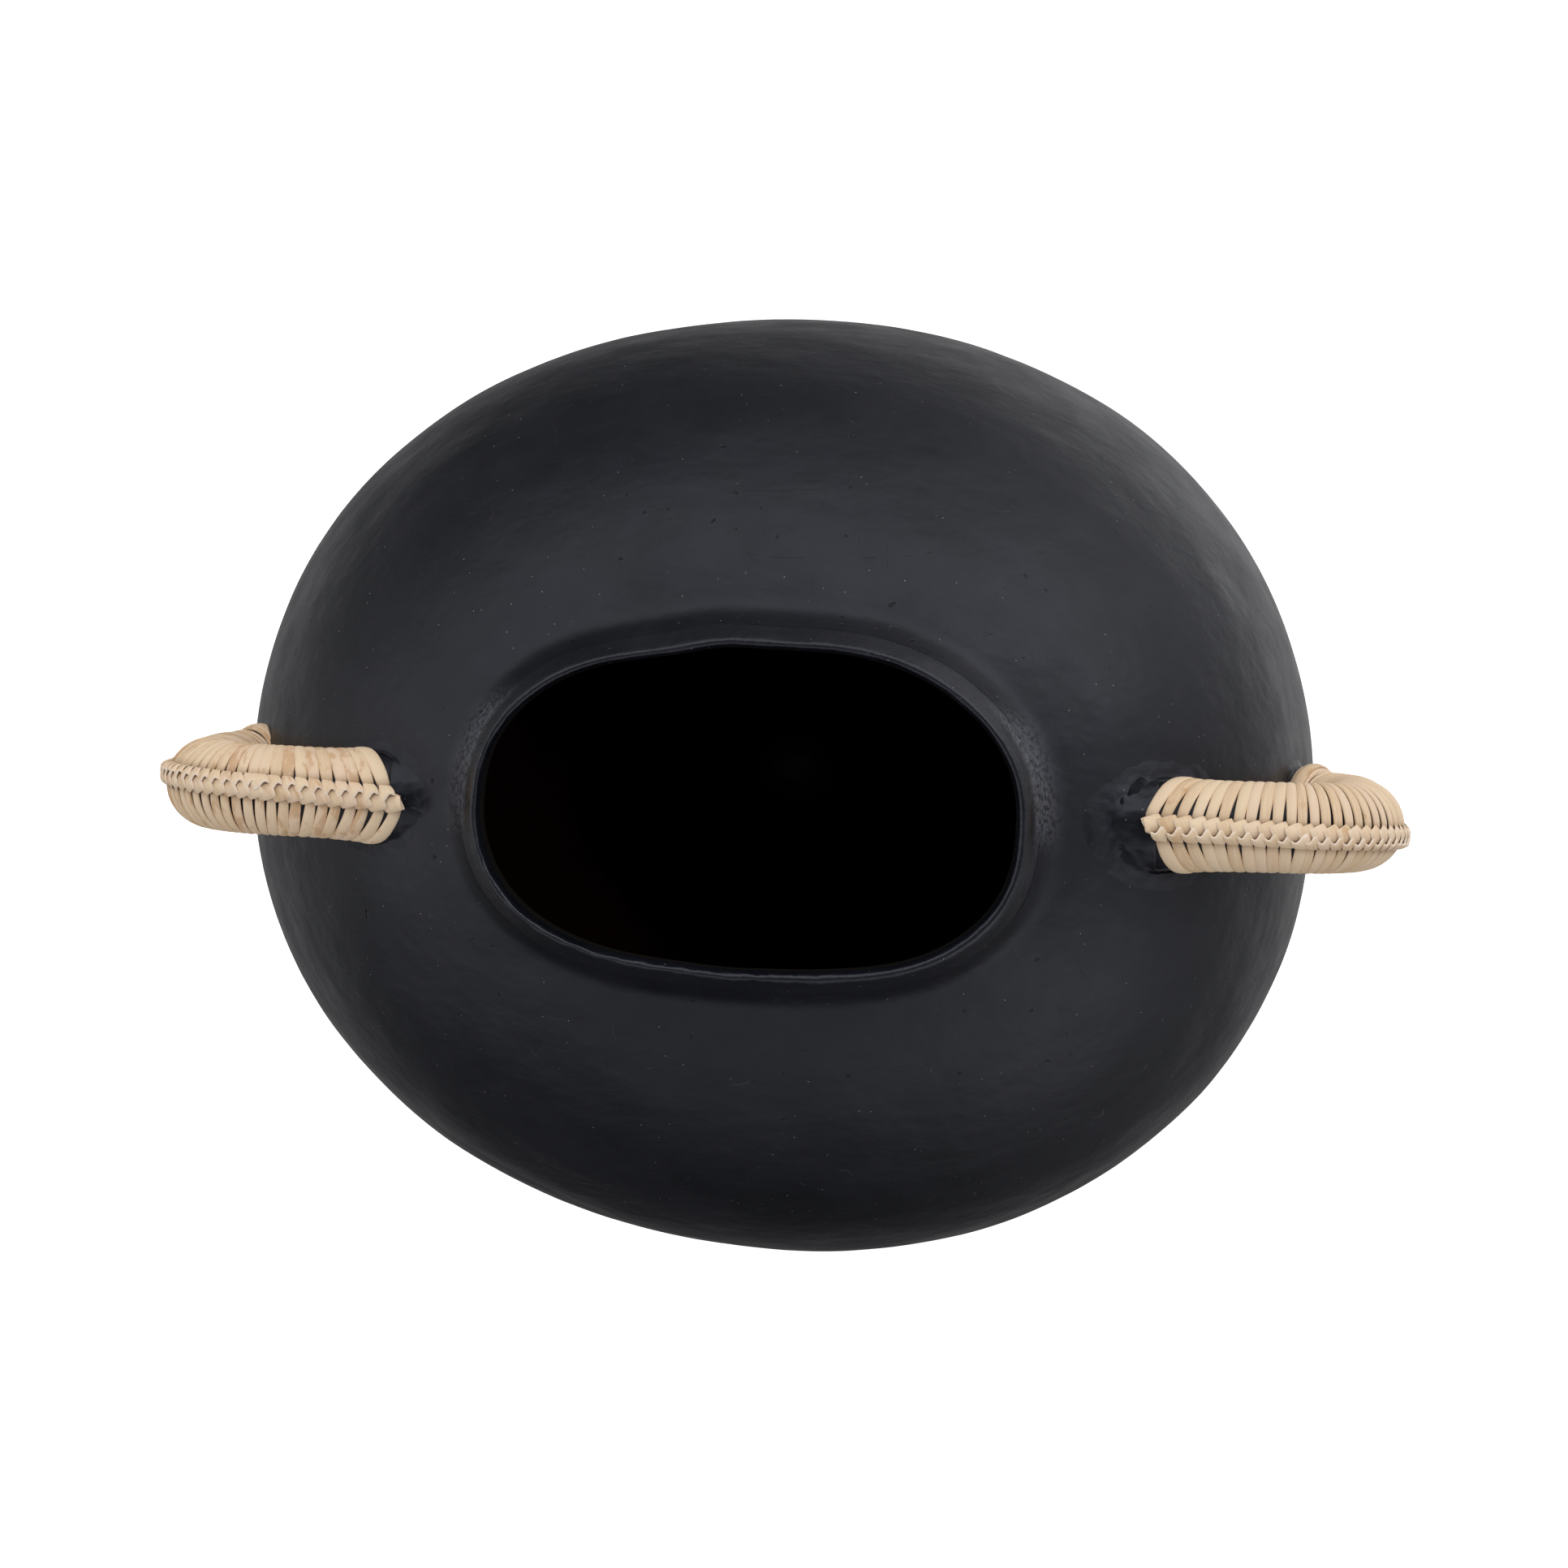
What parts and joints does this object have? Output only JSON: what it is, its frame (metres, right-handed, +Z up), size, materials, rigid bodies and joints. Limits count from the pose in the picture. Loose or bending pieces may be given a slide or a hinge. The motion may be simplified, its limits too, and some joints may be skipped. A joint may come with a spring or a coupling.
{
  "type": "two-handled clay pot",
  "caption": "Round-bellied oval black clay pot with a flat base, an oval mouth and two small loop handles bound in flat cane.",
  "frame": {"origin": "on the ground under the middle of the whole pot, handles included", "axes": "+Z up out of the mouth, +X along the line of the two handles, +Y across it"},
  "size_m": [0.4045, 0.3171, 0.3],
  "materials": {
    "black_clay": "black-fired clay, hand-smoothed to a soft satin",
    "burnished_lip": "black-fired clay, rubbed to a brighter gloss on the lip",
    "luting_clay": "rough black clay, smeared on and unevenly glossy",
    "cane": "split flat cane, natural, satin on the skin side",
    "cane_hitches": "split flat cane, folded, with pale cut edges"
  },
  "bodies": {
    "root": {"base_slab": "black_clay", "foot_wall": "black_clay", "lower_belly": "black_clay", "upper_belly": "black_clay", "shoulder_wall": "black_clay", "neck_coil": "black_clay", "rim_lip": "burnished_lip", "left_handle_core": "black_clay", "right_handle_core": "black_clay", "left_upper_collar": "luting_clay", "left_lower_collar": "luting_clay", "right_upper_collar": "luting_clay", "right_lower_collar": "luting_clay", "left_cane_turns": "cane", "right_cane_turns": "cane", "left_ridge_hitches": "cane_hitches", "right_ridge_hitches": "cane_hitches", "left_upper_end_band": "cane", "left_lower_end_band": "cane", "right_upper_end_band": "cane", "right_lower_end_band": "cane", "left_cane_tail": "cane_hitches", "right_cane_tail": "cane_hitches"}
  },
  "joints": []
}
